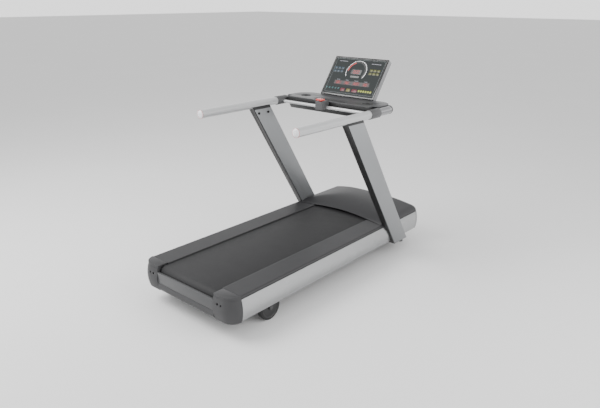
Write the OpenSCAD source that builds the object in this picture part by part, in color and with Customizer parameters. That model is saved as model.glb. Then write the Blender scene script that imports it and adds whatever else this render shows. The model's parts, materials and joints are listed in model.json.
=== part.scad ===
// Commercial treadmill. X to the runner's right, Y forward to the console, Z up, floor at Z = 0.

/* [Running deck] */
// Overall length of the machine
deck_l = 2200; // [2000:10:2400]
// Width across the outer edges of the foot rails
cover_w = 888; // [870:2:920]
// Height of the foot rails above the floor
cover_z = 300; // [290:1:340]
// Height of the side extrusions' lower edge above the floor
side_z = 130; // [125:1:140]
// How far the side extrusions bulge past the foot rails
side_bulge = 13; // [6:1:18]
// Width of the running belt
belt_w = 540; // [480:5:550]
// Thickness of the running belt
belt_t = 3; // [2:0.5:4]
// Drop from the foot rails to the belt's surface
belt_drop = 9; // [7:1:14]
// Radius of both rollers
roller_r = 41.7; // [36:0.1:44]
// Distance from the machine's middle to the front roller
front_roller_y = 640; // [630:5:650]
// Distance from the rear face to the rear roller's axis
rear_roller_in = 70; // [66:1:80]
// Corner radius of the rear end
rear_corner_r = 95; // [70:1:110]
// Corner radius of the front end
front_corner_r = 60; // [40:1:70]
// Height of the hood's crest above the foot rails
hood_rise = 85; // [75:1:100]
// Thickness of moulded covers
skin = 3.5; // [2.5:0.5:4.5]

/* [Frame] */
// Width of each main frame tube
tube_w = 50; // [40:1:52]
// Height of each main frame tube
tube_h = 80; // [60:1:84]
// Distance from the middle to the main tubes' inner faces
tube_x = 315; // [312:1:318]
// Wall of the steel tubes
tube_wall = 3; // [2:0.5:5]
// Radius of the fixed rear wheels
wheel_r = 88; // [70:1:95]
// Width of the fixed rear wheels
wheel_w = 38; // [30:1:39]
// Place of the rear wheels behind the middle
wheel_y = 717; // [690:1:740]
// Radius of the front feet
foot_r = 27; // [20:1:30]
// Place of the front feet ahead of the middle
foot_y = 982; // [940:1:990]

/* [Incline lift] */
// Radius of the lift frame's rollers
lift_wheel_r = 32; // [24:1:34]
// Distance from the lift hinge to its rollers
lift_arm = 430; // [400:5:440]
// Angle that the lift arms swing through
lift_swing = 35.6; // [20:0.1:36]
// Gap between the raised lift rollers and the floor
lift_ground_gap = 10; // [6:1:14]

/* [Uprights and handrails] */
// Thickness of the uprights across the machine
upright_t = 53; // [45:1:54]
// Width of the uprights, measured level
upright_w = 188; // [150:2:200]
// How far the uprights lean back per millimetre of height
lean = 0.638; // [0.5:0.01:0.7]
// Level place of the uprights' rear edge at their foot
upright_y = 680; // [660:5:700]
// Height of the uprights' lower ends
upright_z = 104; // [102:1:110]
// Radius of the handrail tubes
rail_r = 30; // [22:0.5:32]
// Distance from the middle to each handrail's axis
rail_x = 450; // [440:1:456]
// Height of the handrails' axis
rail_z = 1223; // [1150:1:1250]
// Place of the handrails' rear ends behind the middle
rail_back = 515; // [450:5:600]
// Bend radius of the console loop
loop_r = 110; // [90:1:130]
// Place of the loop's cross run ahead of the middle
loop_y = 600; // [590:1:610]

/* [Console] */
// Width of the console
console_w = 512; // [440:2:560]
// Length of the console's face
console_h = 347; // [300:1:380]
// Depth of the console's casing
console_d = 45; // [30:1:48]
// Tilt of the console's face above level
console_tilt = 54.2; // [50:0.1:60]
// Radius of the cup holders
cup_r = 41; // [36:0.5:44]
// Depth of the cup holders
cup_d = 75; // [60:1:85]
// Travel of the stop button
stop_travel = 5; // [3:0.5:6]

/* [Hidden] */
$fn = 96;

run_gap = 0.05;     // radial play of a shaft in its bearing
skin_gap = 0.3;     // gap between curved faces of pieces that move apart
panel_gap = 1.5;    // visible joint between panels
notch_gap = 2;      // gap around an upright where it passes through a cover

rear_y = -deck_l / 2;
front_y = deck_l / 2;
cover_x = cover_w / 2;
side_x = cover_x + side_bulge;          // outermost face of the extrusions
side_top = cover_z - 21;
mid_z = (side_z + side_top) / 2;
side_r = 258;                           // radius of the extrusions' convex face
side_t = 32;                            // depth of the extrusions' hollow section
side_in = side_x - side_t;              // inner faces of the extrusions
joint_y = rear_y + rear_corner_r - 4;   // joint between the rear caps and the extrusions
front_joint_y = front_y - front_corner_r - 3;

belt_z = cover_z - belt_drop;           // running surface
axis_z = belt_z - belt_t - skin_gap - roller_r;
belt_in = roller_r + skin_gap;          // inner radius of the belt on the rollers
rear_roller_y = rear_y + rear_roller_in;
roller_l = belt_w + 4;
axle_r = 12;
axle_x = tube_x + 24;
bearing_r = 26;
bearing_w = 16;

tube_top = axis_z - axle_r - 4;
tube_z = tube_top - tube_h;
tube_out = tube_x + tube_w;             // outer faces of the main frame tubes
tube_y0 = rear_y + 38;
tube_y1 = front_y - 60;
tube_mid = tube_x + tube_w / 2;
cross_h = 40;                           // height of the crossmembers
cross_top = tube_z + cross_h;
rear_cross_y = [rear_y + 140, rear_y + 650, rear_y + 1160];
front_cross_y = [820, 890, 1002];
cross_w = 30;
upright_cross_y = [700, 790];
bracket_y = [-900, -450, 0, 450, 960];  // places of the brackets that carry the extrusions
wheel_x = tube_out + 6 + wheel_w / 2;

board_t = 25;
board_top = belt_z - belt_t - skin_gap;
board_x = tube_mid + 20;
board_y0 = rear_roller_y + 70;
board_y1 = front_roller_y - 104;
cushion_y = [-900, -600, -300, 0, 300, 500];

cap_x = belt_w / 2 + 12;                // inner face of the rear caps
bolt_x = tube_x + 9;                    // tension bolt in each rear cap
screw_x = tube_out - 10;                // fixing screw in each rear cap
bolt_z = tube_top + 10;
block_y = 28;                           // half length of an axle block

seam_r = 1549;                          // plan radius of the hood's rear edge
seam_y = 585;                           // place of that edge in the middle
dome_r = 1400;                          // crown radius of the hood across the machine
arch_r = 700;                           // crown radius of the hood along the machine
arch_y = 900;
crest_z = cover_z + hood_rise;

motor_y = 870;
motor_z = cross_top + 72;
motor_r = 62;
motor_x = [-180, 150];
shaft_r = 8;
pulley_x = [-roller_l / 2 - 28, -roller_l / 2 - 6];
roller_pulley_r = 42;
motor_pulley_r = 26;
drive_belt_t = 4;
flywheel_r = 68;
flywheel_x = pulley_x[1] + 26;

inlet_x = -300;
inlet_z = mid_z - 4;
rocker_in = 11.5;                       // depth of the rocker's pivot behind the front
rocker_tilt = 8;
rocker_pin_r = 1.5;

controller_x = [20, 280];
controller_y = [990, 1068];
controller_h = 62;

hinge_y = 540;
hinge_z = tube_z - 38;
arm_h = 30;
arm_w = 26;
arm_x = tube_x - 4 - arm_w;             // inner face of a lift arm
lift_axis_z = lift_wheel_r + lift_ground_gap;
arm_drop = asin((hinge_z - lift_axis_z) / lift_arm);    // arm's slope when raised
screw_arm = 350;                        // hinge to the screw's line
screw_tilt = arm_drop + lift_swing / 2; // the screw is square to the arms half way
screw_stroke = 2 * screw_arm * tan(lift_swing / 2);
screw_place_x = -150;
screw_r = 8;
slot_play = 2.2;                        // play of the screw's cross pin in its slotted lug

upright_x0 = rail_x - 2.5 - upright_t / 2;
upright_top = rail_z - rail_r - 7;
trim_t = 7;
upright_bolt_y = [41, 143];
upright_bolt_z = 1155;
collar_y = [loop_y - 338, loop_y - 222];
collar_r = rail_r + 4;
rail_wall = 2.5;
cross_tube_y = loop_y - 280;
cross_tube_z = rail_z - 5;
cross_tube_r = 12;
loop_x = rail_x - loop_r;
loop_c = loop_y - loop_r;

tray_z = rail_z + rail_r + 0.5;
tray_t = 6;
tray_top = tray_z + tray_t;
insert_t = 3;                           // wall of the tray's cup and recess liners
tray_x = rail_x - rail_r - 30;
tub_gap = 8;                            // gap between the tray's tub and the loop
tray_y = [loop_y - 254, loop_y - rail_r - tub_gap];
tray_low = tray_top - cup_d - 20.5;
cup_x = tray_x - 90;
cup_y = loop_y - 138;
console_y = loop_y - 6;
console_z = tray_top + 7.5;
face_t = 6;
clamp_x = [-150, 150];                  // clamps that hold the console on the loop
clamp_r = rail_r + 5;

stop_x = 31;                            // half width of the stop housing
stop_y = [cross_tube_y - 68, cross_tube_y + 18];
stop_z = rail_z + 45;
stop_pad_y = stop_y[0] + 23;            // middle of the red push pad

module pair() {
    children();
    mirror([1, 0, 0]) children();
}
module left() { mirror([1, 0, 0]) children(); }
module bar_x(r, x0, x1) { translate([x0, 0, 0]) rotate([0, 90, 0]) cylinder(r = r, h = x1 - x0); }
module bar_y(r, y0, y1) { translate([0, y0, 0]) rotate([-90, 0, 0]) cylinder(r = r, h = y1 - y0); }
// Extrudes a shape drawn in Y and Z along X
module along_x(x0, x1) { translate([x0, 0, 0]) rotate([90, 0, 90]) linear_extrude(x1 - x0) children(); }
// Extrudes a shape drawn in X and Z along Y
module along_y(y0, y1) { translate([0, y1, 0]) rotate([90, 0, 0]) linear_extrude(y1 - y0) children(); }
module box(x, y, z) { translate([x[0], y[0], z[0]]) cube([x[1] - x[0], y[1] - y[0], z[1] - z[0]]); }

// Convex side section in X and Z, from X = 0 out to its bulge at a depth
module bulge(depth, z0, z1, inset) {
    intersection() {
        translate([depth - side_r, mid_z]) circle(r = side_r - inset, $fn = 360);
        translate([0, z0 + inset]) square([side_r, z1 - z0 - 2 * inset]);
    }
}

// Leaning outline of an upright in Y and Z, between two places on its foot and two heights
module upright_side(y0, y1, z0, z1) {
    at0 = upright_y - lean * (z0 - upright_z);
    at1 = upright_y - lean * (z1 - upright_z);
    polygon([[at0 + y0, z0], [at0 + y1, z0], [at1 + y1, z1], [at1 + y0, z1]]);
}
// Space that an upright takes up, grown by a gap
module upright_room(gap) {
    along_x(upright_x0 - gap, upright_x0 + upright_t + gap)
        upright_side(-gap, upright_w + gap, 0, rail_z);
}

module rect_tube_y(x, y, z) {
    difference() {
        box(x, y, z);
        box(x + [tube_wall, -tube_wall], [y[0] - 1, y[1] + 1], z + [tube_wall, -tube_wall]);
    }
}
module rect_tube_x(x, y, z) {
    difference() {
        box(x, y, z);
        box([x[0] - 1, x[1] + 1], y + [tube_wall, -tube_wall], z + [tube_wall, -tube_wall]);
    }
}

module frame_rail() {
    color("#3a3c40") {
        rect_tube_y([tube_x, tube_out], [tube_y0, tube_y1], [tube_z, tube_top]);
        difference() {
            box([screw_x - 10, tube_out], [tube_y0 - 4, tube_y0], [tube_z, bolt_z + 14]);
            translate([screw_x, 0, bolt_z]) bar_y(4, tube_y0 - 5, tube_y0 + 1);
        }
    }
}
module crossmembers() {
    color("#3a3c40") {
        for (y = rear_cross_y) rect_tube_x([-tube_x, tube_x], [y, y + 40], [tube_z, cross_top]);
        for (y = front_cross_y) rect_tube_x([-tube_x, tube_x], [y, y + cross_w], [tube_z, cross_top]);
    }
}
module upright_crossmember() {
    color("#3a3c40") rect_tube_x([-upright_x0, upright_x0], upright_cross_y, [upright_z, tube_z]);
}
module side_brackets() {
    color("#55585c") pair() for (y = bracket_y)
        difference() {
            box([tube_out, side_in], [y - 16, y + 16], [tube_z + 12, side_top - 10]);
            box([tube_out + 5, side_in - 5], [y - 17, y + 10], [tube_z, side_top]);
        }
}
module extrusion() {
    color("#c4c6c9") difference() {
        translate([side_in, 0, 0])
            along_y(joint_y + panel_gap, front_joint_y) bulge(side_t, side_z, side_top, 0);
        translate([side_in + 4, 0, 0])
            along_y(joint_y, front_joint_y + 1) bulge(side_t - 4, side_z, side_top, 4);
        upright_room(notch_gap);
    }
}
module foot_rail() {
    lip_z = cover_z - 19;
    color("#444548") intersection() {
        difference() {
            box([cap_x - 9, cover_x], [joint_y + panel_gap, front_joint_y], [belt_z - 2, cover_z]);
            box([cap_x - 9 + skin, cover_x - skin], [joint_y - 1, front_joint_y + 1],
                [belt_z - 3, cover_z - skin]);
            box([cap_x - 10, cap_x + 20], [seam_y + 50, front_y], [belt_z - 3, cover_z + 1]);
        }
        translate([0, seam_y - seam_r, 0]) cylinder(r = seam_r - panel_gap, h = 500, $fn = 720);
    }
    color("#444548") intersection() {
        union() {
            box([cover_x - skin, cover_x], [joint_y + panel_gap, front_joint_y],
                [lip_z, cover_z - skin]);
            box([tube_out + 15, tube_out + 18], [joint_y + panel_gap, front_joint_y],
                [side_top - 10, cover_z - skin]);
        }
        translate([0, seam_y - seam_r, 0]) cylinder(r = seam_r - panel_gap, h = 500, $fn = 720);
    }
}

// Plan-rounded end block of the deck, from the inner face out to the bulge
module cap_body(inset) {
    c = side_x - rear_corner_r;
    z0 = side_z - 10;
    y0 = rear_y + rear_corner_r;
    translate([c, y0, 0]) {
        along_y(0, 1 + 2 * inset) bulge(rear_corner_r, z0, side_top + 2, inset);
        rotate([0, 0, -90]) {
            rotate_extrude(angle = 90) bulge(rear_corner_r, z0, side_top + 2, inset);
            along_y(cap_x + inset - c, 0) bulge(rear_corner_r, z0, side_top + 2, inset);
        }
    }
}
module rear_cap() {
    lip_r = rear_corner_r - side_bulge;
    c = side_x - rear_corner_r;
    y0 = rear_y + rear_corner_r;
    module lid(inset) {
        translate([0, 0, side_top - 5]) linear_extrude(cover_z - side_top + 5 - inset) intersection() {
            union() {
                translate([c, y0]) circle(r = lip_r - inset);
                translate([cap_x + inset, y0 - lip_r + inset]) square([c - cap_x - inset, lip_r]);
            }
            translate([cap_x + inset, rear_y]) square(2 * rear_corner_r + side_x - cap_x);
        }
    }
    color("#4d4e51") difference() {
        union() {
            cap_body(0);
            lid(0);
        }
        cap_body(skin);
        lid(skin);
        box([0, side_x + 1], [joint_y, y0 + rear_corner_r], [0, cover_z + 1]);
        box([cap_x - 1, cap_x + skin + 1], [rear_y + 38, joint_y + 1], [side_z + 30, cover_z - 15]);
        translate([bolt_x, 0, bolt_z]) bar_y(8, rear_y - 1, rear_y + 20);
        translate([screw_x, 0, bolt_z]) bar_y(7, rear_y - 1, rear_y + 10);
    }
    color("#4d4e51") difference() {
        translate([screw_x, 0, bolt_z]) bar_y(9.5, rear_y + 6, tube_y0 - 4);
        translate([screw_x, 0, bolt_z]) bar_y(7, rear_y, rear_y + 12);
        translate([screw_x, 0, bolt_z]) bar_y(4.2, rear_y, tube_y0);
    }
}
module rear_cap_screws() {
    color("#1c1c1e") pair() translate([screw_x, 0, bolt_z]) difference() {
        union() {
            bar_y(6.5, rear_y + 7, rear_y + 12);
            bar_y(4, rear_y + 12, tube_y0 + 6);
        }
        rotate([0, 30, 0]) translate([0, rear_y + 6, 0]) rotate([-90, 0, 0])
            cylinder(r = 3.2, h = 4, $fn = 6);
    }
}
module belt_tension_bolts() {
    color("#1c1c1e") pair() translate([bolt_x, 0, bolt_z]) difference() {
        union() {
            bar_y(6.5, rear_y + 14, rear_y + 22);
            bar_y(4, rear_y + 22, rear_roller_y - 14);
        }
        rotate([0, 30, 0]) translate([0, rear_y + 13, 0]) rotate([-90, 0, 0])
            cylinder(r = 3.2, h = 5, $fn = 6);
    }
}
module rear_bar() {
    z = [mid_z - 25, mid_z + 53];
    y1 = rear_roller_y - belt_in - belt_t - 4;      // clear of the belt
    color("#6e7073") difference() {
        box([-cap_x + 0.5, cap_x - 0.5], [rear_y + 5, y1], z);
        box([-cap_x, cap_x], [rear_y + 9, y1 + 1], z + [4, -4]);
    }
}
module rear_cover() {
    z0 = side_z - 10;
    z1 = mid_z - 25;
    r = 26;
    color("#4a4b4e") {
        difference() {
            along_x(-cap_x + 0.5, cap_x - 0.5) union() {
                translate([rear_y + 4 + r, z0 + r]) circle(r = r);
                translate([rear_y + 4, z0 + r]) square([130, z1 - z0 - r]);
                translate([rear_y + 4 + r, z0]) square([160, r + 5]);
            }
            along_x(-cap_x, cap_x) union() {
                translate([rear_y + 4 + r, z0 + r]) circle(r = r - skin);
                translate([rear_y + 4 + skin, z0 + r]) square([200, 80]);
                translate([rear_y + 4 + r, z0 + skin]) square([180, 90]);
            }
        }
        for (x = [-200, 200]) box([x - 10, x + 10], [rear_cross_y[0] + 10, rear_cross_y[0] + 30],
            [z0 + skin, tube_z]);
    }
}
module running_board() {
    color("#6b4a33") box([-board_x, board_x], [board_y0, board_y1], [board_top - board_t, board_top]);
}
module deck_cushions() {
    color("#1f1f21") pair() for (y = cushion_y)
        translate([tube_mid, y, tube_top]) difference() {
            cylinder(r = 18, h = board_top - board_t - tube_top);
            translate([0, 0, -1]) cylinder(r = 6, h = board_t);
        }
}
// Outline of a loop around both rollers, at a radius, in Y and Z
module roller_loop(r) {
    translate([rear_roller_y, axis_z]) circle(r = r);
    translate([front_roller_y, axis_z]) circle(r = r);
    translate([rear_roller_y, axis_z - r]) square([front_roller_y - rear_roller_y, 2 * r]);
}
module running_belt() {
    color("#2e2f31") difference() {
        along_x(-belt_w / 2, belt_w / 2) roller_loop(belt_in + belt_t);
        along_x(-belt_w, belt_w) roller_loop(belt_in);
    }
}
module roller(y) {
    color("#9a9da1") translate([0, y, axis_z]) difference() {
        bar_x(roller_r, -roller_l / 2, roller_l / 2);
        bar_x(roller_r - 4, -roller_l / 2 + 22, roller_l / 2 - 22);
        bar_x(axle_r + 3, -roller_l, roller_l);
        pair() bar_x(bearing_r + run_gap, roller_l / 2 - bearing_w - 2, roller_l);
    }
}
module roller_bearings() {
    color("#8e9196") for (y = [rear_roller_y, front_roller_y]) translate([0, y, axis_z]) pair()
        difference() {
            bar_x(bearing_r, roller_l / 2 - bearing_w - 2, roller_l / 2 - 2);
            bar_x(axle_r + run_gap, 0, roller_l);
        }
}
module roller_axles() {
    color("#8e9196") for (y = [rear_roller_y, front_roller_y]) translate([0, y, axis_z])
        bar_x(axle_r, -axle_x, axle_x);
}
module axle_blocks() {
    color("#55585c") pair() for (y = [rear_roller_y, front_roller_y]) difference() {
        box([bolt_x - 15, axle_x], [y - block_y, y + block_y], [tube_top, tube_top + 34]);
        translate([0, y, axis_z]) bar_x(axle_r + run_gap, 0, axle_x + 1);
        if (y == rear_roller_y) translate([bolt_x, 0, bolt_z])
            bar_y(4 + run_gap, y - block_y - 1, y - 10);
    }
}
module roller_pulley() {
    color("#3c3e42") translate([0, front_roller_y, axis_z]) difference() {
        union() {
            bar_x(roller_pulley_r, pulley_x[0], pulley_x[1]);
            bar_x(36, pulley_x[1], -roller_l / 2);
        }
        bar_x(axle_r + 1, pulley_x[0] - 1, 0);
        bar_x(32, pulley_x[0] - 1, pulley_x[0] + 8);
    }
}
// Loop around both pulleys, grown by g: two circles and the band between their outer tangents
module pulley_loop(g) {
    a = roller_pulley_r + g;
    b = motor_pulley_r + g;
    dy = motor_y - front_roller_y;
    dz = motor_z - axis_z;
    d = norm([dy, dz]);
    t = atan2(dz, dy);
    k = acos((a - b) / d);
    translate([front_roller_y, axis_z]) {
        circle(r = a);
        translate([dy, dz]) circle(r = b);
        polygon([for (s = [1, -1]) a * [cos(t + s * k), sin(t + s * k)],
            for (s = [-1, 1]) [dy, dz] + b * [cos(t + s * k), sin(t + s * k)]]);
    }
}
module drive_belt() {
    color("#19191b") difference() {
        along_x(pulley_x[0] + 1, pulley_x[1] - 1) pulley_loop(skin_gap + drive_belt_t);
        along_x(pulley_x[0], pulley_x[1]) pulley_loop(skin_gap);
    }
}
module motor_housing() {
    color("#26282b") translate([0, motor_y, motor_z]) difference() {
        bar_x(motor_r, motor_x[0], motor_x[1]);
        bar_x(motor_r - 6, motor_x[0] + 10, motor_x[1] - 10);
        bar_x(shaft_r + run_gap, motor_x[0] - 1, motor_x[1] + 1);
    }
}
module motor_shaft() {
    color("#a9764a") translate([0, motor_y, motor_z]) {
        bar_x(shaft_r, pulley_x[0], motor_x[1] + 12);
        bar_x(44, motor_x[0] + 40, motor_x[1] - 40);
    }
}
module motor_pulley() {
    color("#3c3e42") translate([0, motor_y, motor_z]) difference() {
        bar_x(motor_pulley_r, pulley_x[0], pulley_x[1]);
        bar_x(shaft_r + run_gap, pulley_x[0] - 1, pulley_x[1] + 1);
    }
}
module flywheel() {
    color("#2b2d30") translate([0, motor_y, motor_z]) difference() {
        bar_x(flywheel_r, flywheel_x, flywheel_x + 20);
        bar_x(flywheel_r - 14, flywheel_x - 1, flywheel_x + 6);
        bar_x(shaft_r + run_gap, flywheel_x - 8, flywheel_x + 22);
    }
}
module motor_bracket() {
    color("#55585c") difference() {
        box([-120, 90], [front_cross_y[0], front_cross_y[1] + cross_w], [cross_top, cross_top + 30]);
        translate([0, motor_y, motor_z]) bar_x(motor_r + run_gap, -130, 100);
    }
}
module controller() {
    color("#7d8085") {
        box(controller_x, controller_y, [cross_top, cross_top + controller_h]);
        for (i = [0:9]) translate([controller_x[0] + 14 + 25 * i, controller_y[0], cross_top + controller_h])
            cube([4, controller_y[1] - controller_y[0], 18]);
    }
}

// Solid under the hood's crown, drawn in by an inset, with its plan corners rounded
module hood_body(inset) {
    r = front_corner_r - 10 - inset;
    z0 = cover_z - 19 - inset;
    x1 = cover_x - inset;
    y0 = seam_y - 120;
    y1 = front_y - 12 - inset;
    intersection() {
        along_y(y0, y1 + 1) intersection() {
            translate([0, crest_z - dome_r]) circle(r = dome_r - inset, $fn = 720);
            translate([-x1 - 1, z0]) square([2 * x1 + 2, 300]);
        }
        along_x(-x1 - 1, x1 + 1) intersection() {
            translate([arch_y, crest_z - arch_r]) circle(r = arch_r - inset, $fn = 720);
            translate([y0, z0]) square([y1 - y0 + 1, 300]);
        }
        translate([0, 0, z0 - 1]) linear_extrude(200) {
            translate([-x1, y0 - 1]) square([2 * x1, y1 - y0 - r + 1]);
            translate([-x1 + r, y0 - 1]) square([2 * (x1 - r), y1 - y0 + 1]);
            for (s = [-1, 1]) translate([s * (x1 - r), y1 - r]) circle(r = r);
        }
    }
}
module hood() {
    color("#414245") difference() {
        hood_body(0);
        hood_body(skin);
        translate([0, seam_y - seam_r, 0]) cylinder(r = seam_r, h = 600, $fn = 720);
        pair() upright_room(notch_gap);
    }
}
module front_cover() {
    c = side_x - front_corner_r;
    yc = front_y - front_corner_r;
    // Ring of the bulged section around the front, drawn in by an inset
    module ring(inset) {
        pair() translate([c, yc, 0]) {
            along_y(front_joint_y + panel_gap - 2 * inset - yc, 0)
                bulge(front_corner_r, side_z, side_top, inset);
            rotate_extrude(angle = 90) bulge(front_corner_r, side_z, side_top, inset);
        }
        translate([0, yc, 0]) rotate([0, 0, 90]) along_y(-c, c)
            bulge(front_corner_r, side_z, side_top, inset);
    }
    color("#b9bbbe") difference() {
        ring(0);
        ring(skin);
        box([-c, c], [yc - 1, yc + 10], [side_z + skin, side_top - skin]);
        inlet_box(0.5, front_y - 40, front_y + 1);
    }
}
module inlet_box(gap, y0, y1) {
    box([inlet_x - 31 - gap, inlet_x + 31 + gap], [y0, y1], [inlet_z - 36 - gap, inlet_z + 36 + gap]);
}
module power_inlet() {
    color("#202123") {
        difference() {
            inlet_box(0, front_y - 34, front_y - 1);
            box([inlet_x - 14, inlet_x + 14], [front_y - 24, front_y], [inlet_z - 28, inlet_z - 8]);
            box([inlet_x - 13, inlet_x + 13], [front_y - 22, front_y], [inlet_z + 6, inlet_z + 24]);
            translate([inlet_x, front_y - rocker_in, inlet_z + 15])
                bar_x(rocker_pin_r + run_gap, -15, 15);
        }
        for (i = [-1, 0, 1])
            translate([inlet_x + 7 * i - 1, front_y - 25, inlet_z - 20 - (i == 0 ? 3 : 0)])
                cube([2, 17, 5]);
    }
}
module power_rocker() {
    color("#8a1418") translate([inlet_x, front_y - rocker_in, inlet_z + 15]) {
        rotate([-rocker_tilt, 0, 0]) along_x(-12.4, 12.4)
            polygon([[-7, -6], [-7, 6], [2, 8.3], [9, 7.6], [6.5, 0], [9, -7.6], [2, -8.3]]);
        bar_x(rocker_pin_r, -14.6, 14.6);
    }
}

// Places children at the lift hinge, with +Y along the raised arms
module on_arms() { translate([0, hinge_y, hinge_z]) rotate([-arm_drop, 0, 0]) children(); }
// Places children on the screw's line: +Z up the screw, origin at its cross pin when raised
module on_screw() {
    s = screw_arm * tan(lift_swing / 2);
    translate([screw_place_x, hinge_y, hinge_z]) rotate([-screw_tilt, 0, 0])
        translate([0, screw_arm, s]) children();
}
module lift_frame() {
    lug_y = screw_arm / cos(lift_swing / 2);
    color("#2c2e31") on_arms() difference() {
        union() {
            pair() {
                box([arm_x, arm_x + arm_w], [0, lift_arm + 12], [-arm_h / 2, arm_h / 2]);
                bar_x(arm_h / 2, arm_x, arm_x + arm_w);
            }
            rect_tube_x([-arm_x, arm_x], [lug_y - 80, lug_y - 55], [-14, 14]);
            for (x = [screw_place_x - 20, screw_place_x + 12])
                box([x, x + 8], [lug_y - 56, lug_y + 18], [-14, 14]);
            translate([0, lift_arm, 0]) bar_x(6, -arm_x - arm_w, arm_x + arm_w);
        }
        bar_x(10 + run_gap, -arm_x - arm_w - 1, arm_x + arm_w + 1);
        box([screw_place_x - 22, screw_place_x + 22], [lug_y - 32, lug_y + 12], (5 + slot_play) * [-1, 1]);
    }
}
module lift_brackets() {
    color("#55585c") pair() {
        difference() {
            box([tube_x + 2, tube_x + 10], [hinge_y - 28, hinge_y + 28], [hinge_z - 18, tube_z]);
            translate([0, hinge_y, hinge_z]) bar_x(10, tube_x, tube_x + 12);
        }
        translate([0, hinge_y, hinge_z]) bar_x(10, arm_x - 6, tube_x + 12);
    }
}
module lift_wheels() {
    color("#1b1b1d") on_arms() translate([0, lift_arm, 0]) pair() difference() {
        bar_x(lift_wheel_r, arm_x - 30, arm_x - 4);
        bar_x(6 + run_gap, 0, arm_x);
    }
}
module lift_motor() {
    color("#404347") difference() {
        union() {
            on_screw() {
                translate([0, 0, 46]) cylinder(r = 17, h = 244);
                translate([-95, -24, 200]) cube([125, 48, 44]);
                translate([-62, 0, 118]) cylinder(r = 26, h = 84);
            }
            box([screw_place_x - 22, screw_place_x + 22], [front_cross_y[2] - 4,
                front_cross_y[2] + cross_w], [cross_top, cross_top + 40]);
        }
        on_screw() translate([0, 0, 40]) cylinder(r = screw_r + 0.4, h = 244);
    }
}
module lift_screw() {
    color("#a5a8ac") on_screw() {
        cylinder(r = screw_r, h = screw_stroke + 46);
        bar_x(5, -19.5, 19.5);
        sphere(r = 10);
    }
}

module rear_wheel() {
    color("#1d1d1f") translate([wheel_x, -wheel_y, wheel_r]) difference() {
        bar_x(wheel_r, -wheel_w / 2, wheel_w / 2);
        pair() difference() {
            bar_x(wheel_r - 14, wheel_w / 2 - 5, wheel_w / 2 + 1);
            bar_x(16, 0, wheel_w);
        }
        bar_x(7 + run_gap, -wheel_w, wheel_w);
    }
}
module rear_wheel_mounts() {
    plate = 4;
    x1 = wheel_x + wheel_w / 2 + 2;
    top = 2 * wheel_r + 14;
    color("#2c2e31") pair() {
        for (x = [tube_out, x1]) difference() {
            union() {
                box([x, x + plate], [-wheel_y - 15, -wheel_y + 15], [wheel_r, top]);
                translate([0, -wheel_y, wheel_r]) bar_x(15, x, x + plate);
            }
            translate([0, -wheel_y, wheel_r]) bar_x(7, x - 1, x + plate + 1);
        }
        box([tube_out, x1 + plate], [-wheel_y - 15, -wheel_y + 15], [top, top + plate]);
        translate([0, -wheel_y, wheel_r]) bar_x(7, tube_out, x1 + plate);
    }
}
module front_feet() {
    color("#1b1b1d") pair() translate([tube_mid, foot_y, 0]) {
        cylinder(r = foot_r, h = 16);
        translate([0, 0, 16]) cylinder(r = 14, h = 12);
        translate([0, 0, 28]) cylinder(r = 8, h = tube_z - 28);
    }
}

module upright() {
    color("#c9cbcd") difference() {
        along_x(upright_x0, upright_x0 + upright_t)
            upright_side(trim_t, upright_w, upright_z, upright_top);
        along_x(upright_x0 + 4, upright_x0 + upright_t - 4)
            upright_side(trim_t + 6, upright_w - 6, upright_z - 1, upright_top - 8);
    }
}
module upright_trims() {
    color("#26272a") pair() difference() {
        union() {
            along_x(upright_x0, upright_x0 + upright_t) upright_side(0, trim_t, upright_z, upright_top);
            along_x(upright_x0, upright_x0 + upright_t)
                upright_side(0, upright_w, upright_top, rail_z - 14);
        }
        translate([rail_x, 0, rail_z]) bar_y(rail_r + run_gap, -rail_back, collar_y[1]);
    }
}
module upright_bolts() {
    color("#17181a") pair() for (y = upright_bolt_y) translate([0, y, upright_bolt_z]) difference() {
        bar_x(9.5, upright_x0 - 7, upright_x0);
        translate([upright_x0 - 8, 0, 0]) rotate([0, 90, 0]) cylinder(r = 5, h = 5, $fn = 6);
    }
}
module handrails() {
    color("#d9dadc") pair() translate([rail_x, 0, rail_z]) difference() {
        bar_y(rail_r, -rail_back, collar_y[0] + 45);
        bar_y(rail_r - rail_wall, -rail_back - 1, collar_y[0] + 46);
    }
}
module rail_end_caps() {
    dome = 12;
    big = (rail_r * rail_r + dome * dome) / (2 * dome);
    color("#e4e5e7") pair() translate([rail_x, -rail_back, rail_z]) {
        intersection() {
            translate([0, big - dome, 0]) sphere(r = big, $fn = 144);
            bar_y(rail_r, -dome - 1, 0);
        }
        bar_y(rail_r - 2.6, 0, 18);
    }
}
module rail_collars() {
    color("#4c4e52") pair() difference() {
        union() {
            translate([rail_x, 0, rail_z]) bar_y(collar_r, collar_y[0], collar_y[1]);
            translate([0, cross_tube_y, cross_tube_z]) bar_x(18, rail_x - collar_r - 12, rail_x);
        }
        translate([rail_x, 0, rail_z]) bar_y(rail_r + run_gap, collar_y[0] - 1, collar_y[0] + 50);
        translate([rail_x, 0, rail_z]) bar_y(rail_r + run_gap, collar_y[1] - 50, collar_y[1] + 1);
        translate([0, cross_tube_y, cross_tube_z])
            bar_x(cross_tube_r + run_gap, 0, rail_x - collar_r);
    }
}
module cross_tube() {
    color("#e2e3e5") translate([0, cross_tube_y, cross_tube_z]) difference() {
        bar_x(cross_tube_r, -rail_x + collar_r, rail_x - collar_r);
        bar_x(cross_tube_r - 2, -rail_x, rail_x);
    }
}
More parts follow.
